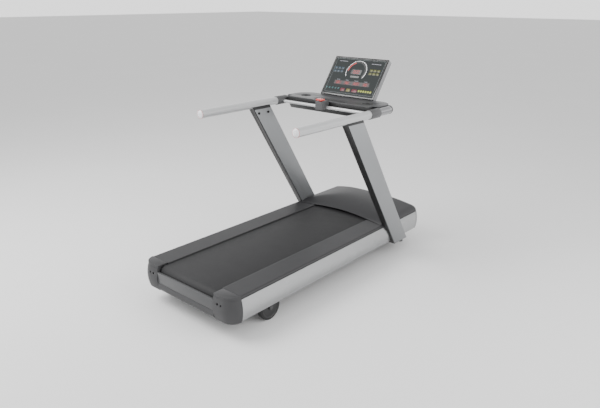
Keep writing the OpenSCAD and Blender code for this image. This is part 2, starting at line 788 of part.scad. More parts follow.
module loop_tube() {
    module run(r) {
        translate([0, 0, rail_z]) {
            pair() {
                translate([rail_x, 0, 0]) bar_y(r, collar_y[1] - 45, loop_c);
                translate([loop_x, loop_c, 0]) rotate_extrude(angle = 90)
                    translate([loop_r, 0]) circle(r = r);
            }
            translate([0, loop_y, 0]) bar_x(r, -loop_x, loop_x);
        }
    }
    color("#cfd1d4") difference() {
        run(rail_r);
        run(rail_r - rail_wall);
        translate([0, 0, rail_z]) pair() translate([rail_x, 0, 0])
            bar_y(rail_r - rail_wall, collar_y[1] - 46, loop_c);
    }
}

module tray_outline() {
    r = loop_r + 14;
    y0 = collar_y[1] + 24;
    y1 = loop_y + 14;
    xs = rail_x - 8;
    translate([-xs, y0]) square([2 * xs, y1 - r - y0]);
    translate([-xs + r, y0]) square([2 * (xs - r), y1 - y0]);
    for (s = [-1, 1]) translate([s * (xs - r), y1 - r]) circle(r = r);
    translate([-tray_x, tray_y[0]]) square([2 * tray_x, y0 - tray_y[0] + 1]);
}
// Leaning side outline of the tray's tub in Y and Z, drawn in by d
module tray_side(d) {
    polygon([[tray_y[0] + d, tray_z + d], [tray_y[0] + d, tray_low + 62], [tray_y[0] + 30 + d,
        tray_low + d], [tray_y[1] - 60 - d, tray_low + d], [tray_y[1] - d, tray_low + 40],
        [tray_y[1] - d, tray_z + d]]);
}
// Tub under the tray, drawn in by d, whose rear corners follow the inside of the loop's bends
module tub(d) {
    r = loop_r - rail_r - tub_gap - d;
    intersection() {
        along_x(-tray_x + d, tray_x - d) tray_side(d);
        translate([0, 0, tray_low - 1]) linear_extrude(tray_z - tray_low + 20) {
            translate([-loop_x, tray_y[0] - 1]) square([2 * loop_x, tray_y[1] - tray_y[0] + 1]);
            translate([-loop_x - r, tray_y[0] - 1]) square([2 * (loop_x + r), loop_c - tray_y[0] + 1]);
            for (x = [-loop_x, loop_x]) translate([x, loop_c]) circle(r = r);
        }
    }
}
module cup_places() { for (x = [-cup_x, cup_x]) translate([x, cup_y, 0]) children(); }
module recess_box(grow, z0, z1) {
    box([-145 - grow, 145 + grow], [tray_y[0] + 29 - grow, tray_y[0] + 91 + grow], [z0, z1]);
}
module tray() {
    color("#55575a") difference() {
        translate([0, 0, tray_z]) linear_extrude(tray_t) tray_outline();
        cup_places() translate([0, 0, tray_z - 1])
            cylinder(r = cup_r + insert_t + run_gap, h = tray_t + 2);
        recess_box(insert_t + run_gap, tray_z - 1, tray_top + 1);
        box((console_w / 2 + 2) * [-1, 1], [console_y - 2, loop_y + 60], [tray_z - 1, tray_top + 1]);
        for (x = clamp_x) translate([x, loop_y, rail_z]) bar_x(clamp_r + panel_gap, -24, 24);
    }
}
module tray_inserts() {
    color("#3f4043") {
        cup_places() difference() {
            union() {
                translate([0, 0, tray_top - cup_d - insert_t])
                    cylinder(r = cup_r + insert_t, h = cup_d + insert_t);
                translate([0, 0, tray_z - 4]) cylinder(r = cup_r + insert_t + 4, h = 4);
            }
            translate([0, 0, tray_top - cup_d]) cylinder(r = cup_r, h = cup_d + 1);
        }
        difference() {
            recess_box(insert_t, tray_top - 26 - insert_t, tray_top);
            recess_box(0, tray_top - 26, tray_top + 1);
        }
    }
}
module tray_base() {
    color("#3a3b3e") difference() {
        tub(0);
        tub(skin);
    }
}

module stop_housing() {
    color("#4a4c50") difference() {
        box([-stop_x, stop_x], stop_y, [stop_z - 62, stop_z]);
        translate([0, cross_tube_y, cross_tube_z]) bar_x(cross_tube_r + run_gap, -stop_x - 1, stop_x + 1);
        translate([0, stop_pad_y, stop_z - 20]) cylinder(r = 10 + run_gap, h = 21);
    }
}
// Rectangle with rounded corners, centred on the origin
module round_rect(w, l, r) {
    square([w - 2 * r, l], center = true);
    square([w, l - 2 * r], center = true);
    for (x = [-1, 1], y = [-1, 1]) translate([x * (w / 2 - r), y * (l / 2 - r)]) circle(r = r);
}
module stop_button() {
    color("#c2221d") translate([0, stop_pad_y, stop_z]) {
        translate([0, 0, -12]) cylinder(r = 10, h = 12 + stop_travel + 2);
        translate([0, 0, stop_travel + 1]) linear_extrude(11) round_rect(2 * stop_x - 2, 44, 8);
    }
}

// Places children on the console's face: +Y up the face, +Z out of it
module on_console() { translate([0, console_y, console_z]) rotate([console_tilt, 0, 0]) children(); }
module console_shell() {
    hw = console_w / 2;
    color("#cfd0d2") difference() {
        union() {
            on_console() difference() {
                box([-hw, hw], [0, console_h], [-console_d, -face_t - 0.3]);
                box([-hw + skin, hw - skin], [skin, console_h - skin], [-console_d + skin, 0]);
            }
            for (x = clamp_x) translate([x, loop_y, rail_z]) bar_x(clamp_r, -22, 22);
        }
        for (x = clamp_x) translate([x, loop_y, rail_z]) bar_x(rail_r + run_gap, -23, 23);
        box([-hw, hw], [console_y - 60, console_y - 1], [tray_z - 1, console_z + 20]);
    }
}
module console_face() {
    hw = console_w / 2;
    color("#1d1f20") on_console() difference() {
        box([-hw, hw], [0, console_h], [-face_t, 0]);
        box([-hw + 12, hw - 12], [12, console_h - 12], [-1.2, 1]);
    }
}

left() frame_rail();  // frame_rail_left
frame_rail();  // frame_rail_right
crossmembers();
upright_crossmember();
side_brackets();
left() extrusion();  // extrusion_left
extrusion();  // extrusion_right
left() foot_rail();  // foot_rail_left
foot_rail();  // foot_rail_right
left() rear_cap();  // rear_cap_left
rear_cap();  // rear_cap_right
rear_cap_screws();
belt_tension_bolts();
rear_bar();
rear_cover();
running_board();
deck_cushions();
running_belt();
roller(front_roller_y);  // front_roller
roller(rear_roller_y);  // rear_roller
roller_bearings();
roller_axles();
axle_blocks();
roller_pulley();
drive_belt();
motor_housing();
motor_shaft();
motor_pulley();
flywheel();
motor_bracket();
controller();
hood();
front_cover();
power_inlet();
power_rocker();
lift_frame();
lift_brackets();
lift_wheels();
lift_motor();
lift_screw();
left() rear_wheel();  // rear_wheel_left
rear_wheel();  // rear_wheel_right
rear_wheel_mounts();
front_feet();
left() upright();  // upright_left
upright();  // upright_right
upright_trims();
upright_bolts();
handrails();
rail_end_caps();
rail_collars();
cross_tube();
loop_tube();
tray();
tray_inserts();
tray_base();
stop_housing();
stop_button();
console_shell();
console_face();
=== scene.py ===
"""A treadmill's visible pieces, finishes and studio, built around its CAD frame."""
import json
import math

import bmesh
import bpy
from bpy.props import FloatProperty, FloatVectorProperty, IntProperty, PointerProperty
from mathutils import Matrix, Vector


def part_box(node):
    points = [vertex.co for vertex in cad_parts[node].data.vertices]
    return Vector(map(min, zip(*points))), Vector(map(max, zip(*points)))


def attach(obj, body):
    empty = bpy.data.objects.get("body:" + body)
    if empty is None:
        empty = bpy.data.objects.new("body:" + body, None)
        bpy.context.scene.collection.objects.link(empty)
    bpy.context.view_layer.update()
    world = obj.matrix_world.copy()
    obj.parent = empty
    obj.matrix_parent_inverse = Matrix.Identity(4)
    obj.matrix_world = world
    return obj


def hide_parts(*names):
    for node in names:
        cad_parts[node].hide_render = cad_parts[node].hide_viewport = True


bl_info = {
    "name": "Treadmill",
    "version": (1, 0, 0),
    "blender": (4, 5, 0),
    "location": "3D View > Sidebar > Treadmill",
    "description": "Builds a treadmill's visible pieces, finishes and studio around its frame",
    "category": "Add Mesh",
}

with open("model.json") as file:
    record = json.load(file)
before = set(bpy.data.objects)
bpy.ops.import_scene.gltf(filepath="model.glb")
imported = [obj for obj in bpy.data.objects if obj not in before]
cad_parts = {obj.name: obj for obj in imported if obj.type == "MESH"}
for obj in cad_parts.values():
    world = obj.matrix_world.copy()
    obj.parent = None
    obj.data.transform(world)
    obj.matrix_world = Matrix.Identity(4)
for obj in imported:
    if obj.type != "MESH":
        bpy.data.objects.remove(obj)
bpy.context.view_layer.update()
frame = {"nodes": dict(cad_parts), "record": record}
NODES = frame["nodes"]
SLOT_OF = {part["node"]: part["material_slot"] for part in frame["record"]["subparts"]}
SIDES = {"left": -1, "right": 1}


# ---------------------------------------------------------------- user settings

def length(name, description, default, low=0.0):
    """A size in metres that a user may change."""
    return FloatProperty(
        name=name, description=description, default=default, min=low, unit="LENGTH", precision=4)


def angle(name, description, degrees):
    """An angle that a user may change."""
    return FloatProperty(
        name=name, description=description, default=math.radians(degrees), subtype="ANGLE")


def colour(name, description, default):
    """A linear colour that a user may change."""
    return FloatVectorProperty(
        name=name, description=description, default=default, min=0.0, max=1.0, size=3, subtype="COLOR")


class TreadmillSizes(bpy.types.PropertyGroup):
    """Sizes of the pieces that are modelled around the frame"""
    belt_wall: length("Belt wall", "Thickness of the running belt", 0.003)
    rail_lip: length("Foot rail lip", "Depth of the foot rail's outer lip", 0.019)
    rail_shoulder: length("Foot rail shoulder", "Radius of the foot rail's outer shoulder", 0.010)
    moulding_wall: length("Moulding wall", "Thickness of the moulded covers", 0.0035)
    seam_middle: length("Seam place", "Place of the hood's rear edge on the middle line", 0.585)
    seam_radius: length("Seam radius", "Plan radius of the hood's rear edge", 1.549)
    crown_across: length("Crown across", "Radius of the hood's crown across the machine", 1.4)
    crown_along: length("Crown along", "Radius of the hood's crown along the machine", 0.7)
    crown_place: length("Crown place", "Place of the hood's highest point", 0.9)
    hood_corner: length("Hood corner", "Plan radius of the hood's front corners", 0.050)
    upright_lean: FloatProperty(
        name="Upright lean", description="Uprights' lean back per height", default=0.638)
    loop_bend: length("Loop bend", "Bend radius of the console loop", 0.110)
    console_tilt: angle("Console tilt", "Tilt of the console's face above level", 54.2)
    console_border: length("Console border", "Width of the console's raised border", 0.012)
    console_recess: length("Console recess", "Depth of the console's face inside its border", 0.0012)


class TreadmillColours(bpy.types.PropertyGroup):
    """Colours of the main finishes"""
    moulding: colour("Mouldings", "Foot rails and hood", (0.023, 0.023, 0.025))
    cap: colour("Rear caps", "Rear end caps and rear cover", (0.032, 0.032, 0.034))
    bar: colour("Rear bar", "Bar between the rear caps", (0.062, 0.063, 0.065))
    belt: colour("Belt", "Running belt", (0.016, 0.016, 0.017))
    aluminium: colour("Aluminium", "Side extrusions", (0.44, 0.445, 0.45))
    upright: colour("Uprights", "Uprights", (0.25, 0.257, 0.264))
    rail: colour("Handrails", "Handrails and cross tube", (0.50, 0.505, 0.51))
    tray: colour("Tray", "Tray below the console", (0.060, 0.061, 0.064))
    overlay: colour("Console overlay", "Printed sheet on the console", (0.014, 0.018, 0.018))
    display: colour("Displays", "Lit segments of the displays", (0.42, 0.003, 0.006))
    stop: colour("Stop button", "Stop button", (0.62, 0.035, 0.025))


class StudioSettings(bpy.types.PropertyGroup):
    """Camera, floor and lights"""
    azimuth: angle("Azimuth", "Turn of the camera about the machine", 40.92)
    elevation: angle("Elevation", "Height of the camera as an angle", 19.61)
    roll: angle("Roll", "Roll of the camera", 0.17)
    distance: length("Distance", "Distance from the camera to its target", 4.42406)
    target: FloatVectorProperty(
        name="Target", description="Point that the camera looks at",
        default=(0.02529, 0.01562, 0.52178), size=3, subtype="TRANSLATION", unit="LENGTH")
    lens: FloatProperty(name="Lens", description="Focal length in millimetres", default=34.88)
    sky: FloatProperty(name="Sky", description="Strength of the sky near the ground", default=1.75)
    key: FloatProperty(name="Key light", description="Power of the key light in watts", default=240.0)
    fill: FloatProperty(name="Fill light", description="Power of the fill light in watts", default=90.0)
    light_size: length("Light size", "Width of the soft lights", 3.0)


# ---------------------------------------------------------------- shader maths

class Wire:
    """A shader socket that takes part in Python arithmetic."""

    def __init__(self, finish, socket):
        self.finish = finish
        self.socket = socket

    def maths(self, operation, *values):
        return self.finish.node("ShaderNodeMath", {"operation": operation}, dict(enumerate(values)))

    def __add__(self, other):
        return self.maths("ADD", self, other)

    def __sub__(self, other):
        return self.maths("SUBTRACT", self, other)

    def __rsub__(self, other):
        return self.maths("SUBTRACT", other, self)

    def __mul__(self, other):
        return self.maths("MULTIPLY", self, other)

    def sine(self):
        return self.maths("SINE", self)

    def size(self):
        return self.maths("ABSOLUTE", self)

    __radd__ = __add__
    __rmul__ = __mul__


class Finish:
    """One material and its node tree."""

    def __init__(self, name, roughness=0.5, metallic=0.0, **constants):
        self.material = bpy.data.materials.new(name)
        self.material.use_nodes = True
        self.tree = self.material.node_tree
        self.shader = self.tree.nodes["Principled BSDF"]
        self.set(Roughness=roughness, Metallic=metallic, **constants)

    def set(self, **values):
        for name, value in values.items():
            self.join(value, self.shader.inputs[name.replace("_", " ")])

    def join(self, value, socket):
        if isinstance(value, Wire):
            self.tree.links.new(value.socket, socket)
        elif socket.type == "RGBA":
            socket.default_value = (*value[:3], 1.0)
        else:
            socket.default_value = value

    def node(self, kind, settings=None, inputs=None, out=0):
        """Makes a node from its type, its settings and the values or links of its sockets."""
        made = self.tree.nodes.new(kind)
        for name, value in (settings or {}).items():
            setattr(made, name, value)
        for name, value in (inputs or {}).items():
            self.join(value, made.inputs[name])
        return Wire(self, made.outputs[out])

    def place(self, scale=(1, 1, 1), location=(0, 0, 0)):
        """Object coordinates, scaled and moved."""
        coordinates = self.node("ShaderNodeTexCoord", out="Object")
        return self.node("ShaderNodeMapping", None,
                         {"Vector": coordinates, "Scale": scale, "Location": location})

    def axes(self, vector):
        split = self.node("ShaderNodeSeparateXYZ", None, {"Vector": vector})
        nodes = split.socket.node.outputs
        return [Wire(self, nodes[axis]) for axis in "XYZ"]

    def noise(self, scale, detail=2.0, stretch=(1, 1, 1)):
        return self.node("ShaderNodeTexNoise", None,
                         {"Vector": self.place(stretch), "Scale": scale, "Detail": detail})

    def mix(self, amount, first, second):
        return self.node("ShaderNodeMix", {"data_type": "RGBA"}, {0: amount, 6: first, 7: second}, 2)

    def bump(self, height, strength, distance):
        return self.node("ShaderNodeBump", None,
                         {"Height": height, "Strength": strength, "Distance": distance})


def shade(tint, factor):
    """A colour made lighter or darker."""
    return tuple(min(1.0, part * factor) for part in tint)


# ---------------------------------------------------------------- finishes

GRAIN = 1400.0          # noise cells per metre of a fine mould grain
CLOUD = 9.0             # noise cells per metre of slow changes of tone


def moulded(name, tint, roughness=0.5, grain=0.35, spread=0.10, **constants):
    """Moulded plastic with a fine grain and slow changes of tone."""
    f = Finish(name, IOR=1.48, **constants)
    cloud = f.noise(CLOUD, 3.0)
    pits = f.noise(GRAIN, 3.0)
    f.set(Base_Color=f.mix(cloud, shade(tint, 1 - spread), shade(tint, 1 + spread)),
          Roughness=roughness + (pits - 0.5) * 0.12 + (cloud - 0.5) * 0.10,
          Normal=f.bump(pits, grain, 0.0002))
    return f.material


def coated(name, tint, roughness=0.38, metallic=0.0, peel=0.10):
    """Painted metal with a faint orange peel."""
    f = Finish(name, Coat_Weight=0.25, Coat_Roughness=0.25)
    cloud = f.noise(CLOUD * 0.6)
    skin = f.noise(420.0)
    f.set(Base_Color=f.mix(cloud, shade(tint, 0.95), shade(tint, 1.05)),
          Metallic=metallic,
          Roughness=roughness + (skin - 0.5) * 0.08,
          Normal=f.bump(skin, peel, 0.0003))
    return f.material


def brushed(name, tint, roughness=0.32, stretch=(260, 6, 260), depth=0.06):
    """Metal with fine lines along one direction."""
    f = Finish(name, metallic=1.0)
    lines = f.noise(4.0, 4.0, stretch)
    cloud = f.noise(CLOUD * 0.5)
    f.set(Base_Color=f.mix(lines, shade(tint, 0.93), shade(tint, 1.04)),
          Roughness=roughness + (lines - 0.5) * 0.14 + (cloud - 0.5) * 0.08,
          Normal=f.bump(lines, depth, 0.0002))
    return f.material


def turned(name, tint, roughness=0.28):
    """Machined steel with fine rings about the X axis."""
    return brushed(name, tint, roughness, (900, 4, 4), 0.10)


def satin_paint_with_painted_shade(name, tint):
    """Satin metallic paint, with painted shade that darkens it slowly towards the floor."""
    f = Finish(name, Coat_Weight=0.15, Coat_Roughness=0.3)
    height = f.axes(f.place())[2]
    flake = f.noise(1800.0)
    # Painted shade: the colour is darkest at 0.1 m and lightest at 1.2 m above the floor.
    rise = f.node("ShaderNodeMapRange", None, {"Value": height, "From Min": 0.1, "From Max": 1.2})
    tone = f.mix(rise, shade(tint, 0.80), shade(tint, 1.18))
    f.set(Base_Color=f.mix(flake * 0.10, tone, shade(tint, 1.5)), Metallic=0.45,
          Roughness=0.42 + (flake - 0.5) * 0.08, Normal=f.bump(flake, 0.06, 0.0002))
    return f.material


def rubber(name, tint, roughness=0.75):
    """Matt rubber with a powdery bloom."""
    f = Finish(name, IOR=1.5)
    bloom = f.noise(60.0, 4.0)
    pores = f.noise(900.0)
    f.set(Base_Color=f.mix(bloom, shade(tint, 0.85), shade(tint, 1.35)),
          Roughness=roughness + (bloom - 0.5) * 0.15,
          Normal=f.bump(pores, 0.3, 0.0003))
    return f.material


def belt_weave(name, tint):
    """Belt cover with a fine diamond emboss and a faintly worn walking lane."""
    f = Finish(name, IOR=1.45)
    x, y, _ = f.axes(f.place())
    pitch = 2 * math.pi / 0.004
    diamonds = ((x + y) * pitch).sine() * ((x - y) * pitch).sine()
    lane = f.node("ShaderNodeMapRange", None, {"Value": x.size(), "From Min": 0.10, "From Max": 0.24})
    dust = f.noise(14.0, 4.0)
    worn = f.mix(lane, shade(tint, 1.10), tint)
    f.set(Base_Color=f.mix(dust * 0.30, worn, shade(tint, 1.35)),
          Roughness=0.68 + (diamonds * 0.06) + (dust - 0.5) * 0.08,
          Normal=f.bump(diamonds, 0.35, 0.0003))
    return f.material


def waxed_board(name, tint):
    """Plywood with its layers along the edges and grain along the length."""
    f = Finish(name, Coat_Weight=0.2)
    _, _, z = f.axes(f.place())
    plies = (z * (2 * math.pi / 0.0035)).sine() * 0.5 + 0.5
    grain = f.noise(5.0, 6.0, (40, 3, 40))
    f.set(Base_Color=f.mix(grain * 0.6 + plies * 0.4, shade(tint, 0.65), shade(tint, 1.25)),
          Roughness=0.45 + grain * 0.15, Normal=f.bump(grain, 0.15, 0.0004))
    return f.material


def polished(name, tint, roughness=0.10):
    """Bright plated tube with faint hand marks."""
    f = Finish(name, metallic=1.0)
    marks = f.noise(25.0, 4.0)
    f.set(Base_Color=f.mix(marks, shade(tint, 0.96), tint), Roughness=roughness + marks * 0.08,
          Normal=f.bump(marks, 0.02, 0.0004))
    return f.material


def lit(name, tint, strength):
    """Glowing display segments, and print with a painted glow, a little uneven."""
    f = Finish(name, roughness=0.35, Emission_Strength=strength)
    uneven = f.noise(220.0)
    glow = f.mix(uneven, shade(tint, 0.75), tint)
    f.set(Base_Color=glow, Emission_Color=glow)
    return f.material


def grey(value):
    """A neutral colour, very slightly cool."""
    return (value, value, value * 1.03)


def slot_finishes(c):
    """The finish of every material slot in the record."""
    return {
        "frame_steel": coated("frame_powder_coat", grey(0.035), 0.45, 0.0, 0.25),
        "bracket_steel": coated("bracket_paint", grey(0.16), 0.42, 0.5, 0.2),
        "extrusion_aluminium": brushed("side_extrusion_satin", c.aluminium, 0.26),
        "foot_rail_plastic": moulded("foot_rail_grain", c.moulding, 0.52, 0.45),
        "cap_plastic": moulded("rear_cap_grain", c.cap, 0.50, 0.40),
        "black_screw": coated("black_oxide", grey(0.015), 0.35, 0.8),
        "bar_plastic": moulded("rear_bar_satin", c.bar, 0.42, 0.25),
        "board_wood": waxed_board("deck_board_wax", (0.35, 0.24, 0.15)),
        "cushion_rubber": rubber("foot_rubber", grey(0.020)),
        "belt_fabric": belt_weave("belt_diamond_cover", c.belt),
        "roller_steel": turned("roller_turned_steel", grey(0.55)),
        "pulley_metal": turned("pulley_machined_iron", grey(0.12), 0.4),
        "drive_belt_rubber": rubber("drive_belt_rib", grey(0.014), 0.6),
        "motor_paint": coated("motor_enamel", grey(0.03), 0.3),
        "flywheel_iron": turned("flywheel_iron", grey(0.09), 0.45),
        "controller_aluminium": brushed("heat_sink_anodised", grey(0.45), 0.4),
        "hood_plastic": moulded("hood_grain", c.moulding, 0.46, 0.35),
        "silver_paint": coated("silver_paint", grey(0.27), 0.34, 0.55),
        "black_plastic": moulded("black_moulding", grey(0.018), 0.42),
        "red_plastic": moulded("red_stop_gloss", c.stop, 0.25, 0.08, 0.06, Coat_Weight=0.5),
        "wheel_rubber": rubber("wheel_rubber", grey(0.013)),
        "upright_aluminium": satin_paint_with_painted_shade("upright_satin_painted_shade", c.upright),
        "rail_paint": coated("handrail_satin_white", c.rail, 0.30, 0.25),
        "cap_white": moulded("white_end_cap", grey(0.82), 0.25, 0.08, 0.03, Coat_Weight=0.4),
        "collar_plastic": moulded("collar_satin", grey(0.075), 0.42, 0.25),
        "rail_chrome": polished("loop_bright_plate", grey(0.36), 0.12),
        "tray_plastic": moulded("tray_satin", c.tray, 0.40, 0.30),
        "insert_plastic": moulded("liner_satin", grey(0.030), 0.45, 0.30),
        "console_black": moulded("console_bezel_gloss", grey(0.012), 0.22, 0.05, 0.05, Coat_Weight=0.4),
    }


# ---------------------------------------------------------------- making pieces

FINISHES = {}
CREASE = math.radians(32)


def add_piece(name, bm, body, slot, material=None, replaces=()):
    """Turns a bmesh into a piece that rides on a body and takes a slot's finish."""
    bmesh.ops.remove_doubles(bm, verts=bm.verts, dist=1e-6)
    bmesh.ops.recalc_face_normals(bm, faces=bm.faces)
    mesh = bpy.data.meshes.new(name)
    bm.to_mesh(mesh)
    bm.free()
    if not mesh.polygons:
        raise RuntimeError(f"{name} has no faces")
    mesh.shade_smooth()
    mesh.set_sharp_from_angle(angle=CREASE)
    mesh.materials.append(material or FINISHES[slot])
    piece = bpy.data.objects.new(name, mesh)
    bpy.context.scene.collection.objects.link(piece)
    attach(piece, body)
    if replaces:
        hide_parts(*replaces)
    return piece


def bevel_sharp(bm, width, segments=2, least=math.radians(50)):
    """Rounds the edges that are sharper than an angle."""
    edges = [e for e in bm.edges if len(e.link_faces) == 2 and e.calc_face_angle(0.0) > least]
    bmesh.ops.bevel(bm, geom=edges, offset=width, offset_type="OFFSET", segments=segments,
                    profile=0.5, affect="EDGES", material=-1, clamp_overlap=True)


def merge_in(bm, other, matrix=None):
    """Adds another bmesh to this one."""
    if matrix is not None:
        bmesh.ops.transform(other, matrix=matrix, verts=other.verts)
    passing = bpy.data.meshes.new("passing")
    other.to_mesh(passing)
    other.free()
    bm.from_mesh(passing)
    bpy.data.meshes.remove(passing)


def push_out(bm, faces, offset):
    """Extrudes flat faces by an offset and returns the new vertices."""
    made = bmesh.ops.extrude_face_region(bm, geom=faces, use_keep_orig=True)["geom"]
    verts = [v for v in made if isinstance(v, bmesh.types.BMVert)]
    bmesh.ops.translate(bm, verts=verts, vec=offset)
    return verts


def pad(centre, size, corner, z, height, edge=0.0):
    """A plate with rounded corners, and a rounded top edge if asked."""
    bm = bmesh.new()
    bmesh.ops.create_grid(bm, x_segments=1, y_segments=1, size=0.5)
    bmesh.ops.scale(bm, verts=bm.verts, vec=(size[0], size[1], 1))
    if corner:
        bmesh.ops.bevel(bm, geom=list(bm.verts), offset=corner, offset_type="OFFSET", segments=5,
                        profile=0.5, affect="VERTICES", material=-1)
    push_out(bm, list(bm.faces), (0, 0, height))
    bmesh.ops.translate(bm, verts=bm.verts, vec=(centre[0], centre[1], z))
    if edge:
        bmesh.ops.recalc_face_normals(bm, faces=bm.faces)
        top = [e for e in bm.edges if all(v.co.z > z + height * 0.9 for v in e.verts)]
        bmesh.ops.bevel(bm, geom=top, offset=edge, offset_type="OFFSET", segments=2,
                        profile=0.5, affect="EDGES", material=-1, clamp_overlap=True)
    return bm


def turned_ring(profile, place, steps=72, sweep=2 * math.pi):
    """Spins a closed outline of (along, radius) points about an X axis through a place."""
    bm = bmesh.new()
    verts = [bm.verts.new((x, 0, r)) for x, r in profile]
    edges = [bm.edges.new((a, b)) for a, b in zip(verts, verts[1:] + verts[:1])]
    full = abs(sweep - 2 * math.pi) < 1e-9
    bmesh.ops.spin(bm, geom=edges + verts, cent=(0, 0, 0), axis=(1, 0, 0), angle=sweep,
                   steps=steps, use_merge=full)
    bmesh.ops.translate(bm, verts=bm.verts, vec=place)
    return bm


def seam_place(x, sizes):
    """Place of the hood's rear edge at a distance from the middle."""
    return sizes.seam_middle - sizes.seam_radius + math.sqrt(sizes.seam_radius ** 2 - x * x)


# ---------------------------------------------------------------- operators

class PieceOperator(bpy.types.Operator):
    """Shared settings of every operator"""
    bl_options = {"REGISTER", "UNDO"}

    @property
    def sizes(self):
        return bpy.context.scene.treadmill_sizes

    @property
    def colours(self):
        return bpy.context.scene.treadmill_colours


SOFTENED = {
    "upright_left": 0.0014, "upright_right": 0.0014, "upright_trims": 0.0010, "stop_housing": 0.0025,
    "stop_button": 0.0028, "console_shell": 0.0016, "console_face": 0.0010, "tray": 0.0018,
    "tray_inserts": 0.0008, "tray_base": 0.0016, "rear_bar": 0.0012, "power_inlet": 0.0006,
    "side_brackets": 0.0006, "motor_bracket": 0.0010, "controller": 0.0008, "rail_collars": 0.0014,
    "rear_cap_left": 0.0009, "rear_cap_right": 0.0009, "front_feet": 0.0010, "frame_rail_left": 0.0008,
    "frame_rail_right": 0.0008, "crossmembers": 0.0008, "rear_wheel_mounts": 0.0007,
}


class TREADMILL_OT_finishes(PieceOperator):
    """Give every frame piece its finish and soften its edges"""
    bl_idname = "treadmill.finishes"
    bl_label = "Frame finishes"

    def execute(self, context):
        FINISHES.update(slot_finishes(self.colours))
        for name, node in NODES.items():
            node.data.materials.clear()
            node.data.materials.append(FINISHES[SLOT_OF[name]])
            node.data.shade_smooth()
            weld = node.modifiers.new("weld", "WELD")
            weld.merge_threshold = 1e-5
            if name in SOFTENED:
                flat = node.modifiers.new("flat", "DECIMATE")
                flat.decimate_type = "DISSOLVE"
                flat.angle_limit = math.radians(0.4)
                soft = node.modifiers.new("soft", "BEVEL")
                soft.width = SOFTENED[name]
                soft.segments = 2
                soft.limit_method = "ANGLE"
                soft.angle_limit = math.radians(50)
                soft.use_clamp_overlap = True
            crisp = node.modifiers.new("crisp", "EDGE_SPLIT")
            crisp.split_angle = CREASE
        return {"FINISHED"}


class TREADMILL_OT_belt(PieceOperator):
    """Model the running belt"""
    bl_idname = "treadmill.belt"
    bl_label = "Running belt"
    segments: IntProperty(name="Segments", description="Steps round both rollers", default=128, min=16)

    def execute(self, context):
        lo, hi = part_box("running_belt")
        outer = (hi.z - lo.z) / 2
        rear, front, height = lo.y + outer, hi.y - outer, (lo.z + hi.z) / 2
        on_edge, rounding = Matrix.Rotation(math.pi / 2, 3, "Y"), 0.0007
        bm = bmesh.new()
        for radius in (outer, outer - self.sizes.belt_wall):
            verts = bmesh.ops.create_circle(bm, segments=self.segments, radius=radius)["verts"]
            bmesh.ops.rotate(bm, verts=verts, cent=(0, 0, 0), matrix=on_edge)
            for v in verts:
                v.co.y += front if v.co.y > 1e-6 else rear
                v.co.z += height
                v.co.x = lo.x
        bmesh.ops.bridge_loops(bm, edges=bm.edges)
        push_out(bm, list(bm.faces), (hi.x - lo.x, 0, 0))
        bmesh.ops.recalc_face_normals(bm, faces=bm.faces)
        bevel_sharp(bm, rounding)
        add_piece("running_belt_cover", bm, "frame", "belt_fabric", replaces=["running_belt"])
        return {"FINISHED"}


class TREADMILL_OT_foot_rails(PieceOperator):
    """Model the foot rails beside the belt"""
    bl_idname = "treadmill.foot_rails"
    bl_label = "Foot rails"

    def execute(self, context):
        s = self.sizes
        deep, inner_radius, seam_gap = 0.011, 0.002, 0.0015
        strips = 14             # lengthwise strips that let the front end follow the seam
        for side, sign in SIDES.items():
            lo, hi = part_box("foot_rail_right")
            bm = bmesh.new()
            under = hi.z - deep
            outline = [(lo.x, under), (lo.x, hi.z), (hi.x, hi.z), (hi.x, hi.z - s.rail_lip),
                       (hi.x - s.moulding_wall, hi.z - s.rail_lip), (hi.x - s.moulding_wall, under)]
            verts = [bm.verts.new((x, lo.y, z)) for x, z in outline]
            bm.faces.new(verts)
            for corner, radius, steps in ((verts[2], s.rail_shoulder, 6), (verts[1], inner_radius, 3)):
                bmesh.ops.bevel(bm, geom=[corner], offset=radius, offset_type="OFFSET", segments=steps,
                                profile=0.5, affect="VERTICES", material=-1)
            push_out(bm, list(bm.faces), (0, hi.y - lo.y, 0))
            for step in range(1, strips):
                cut = (lo.x + (hi.x - lo.x) * step / strips, 0, 0)
                bmesh.ops.bisect_plane(bm, geom=bm.verts[:] + bm.edges[:] + bm.faces[:], dist=1e-6,
                                       plane_co=cut, plane_no=(1, 0, 0))
            for v in bm.verts:
                if v.co.y > hi.y - 1e-5:
                    v.co.y = seam_place(v.co.x, s) - seam_gap
            if sign < 0:
                bmesh.ops.scale(bm, verts=bm.verts, vec=(-1, 1, 1))
            add_piece(f"foot_rail_moulding_{side}", bm, "frame", "foot_rail_plastic",
                      replaces=[f"foot_rail_{side}"])
        return {"FINISHED"}


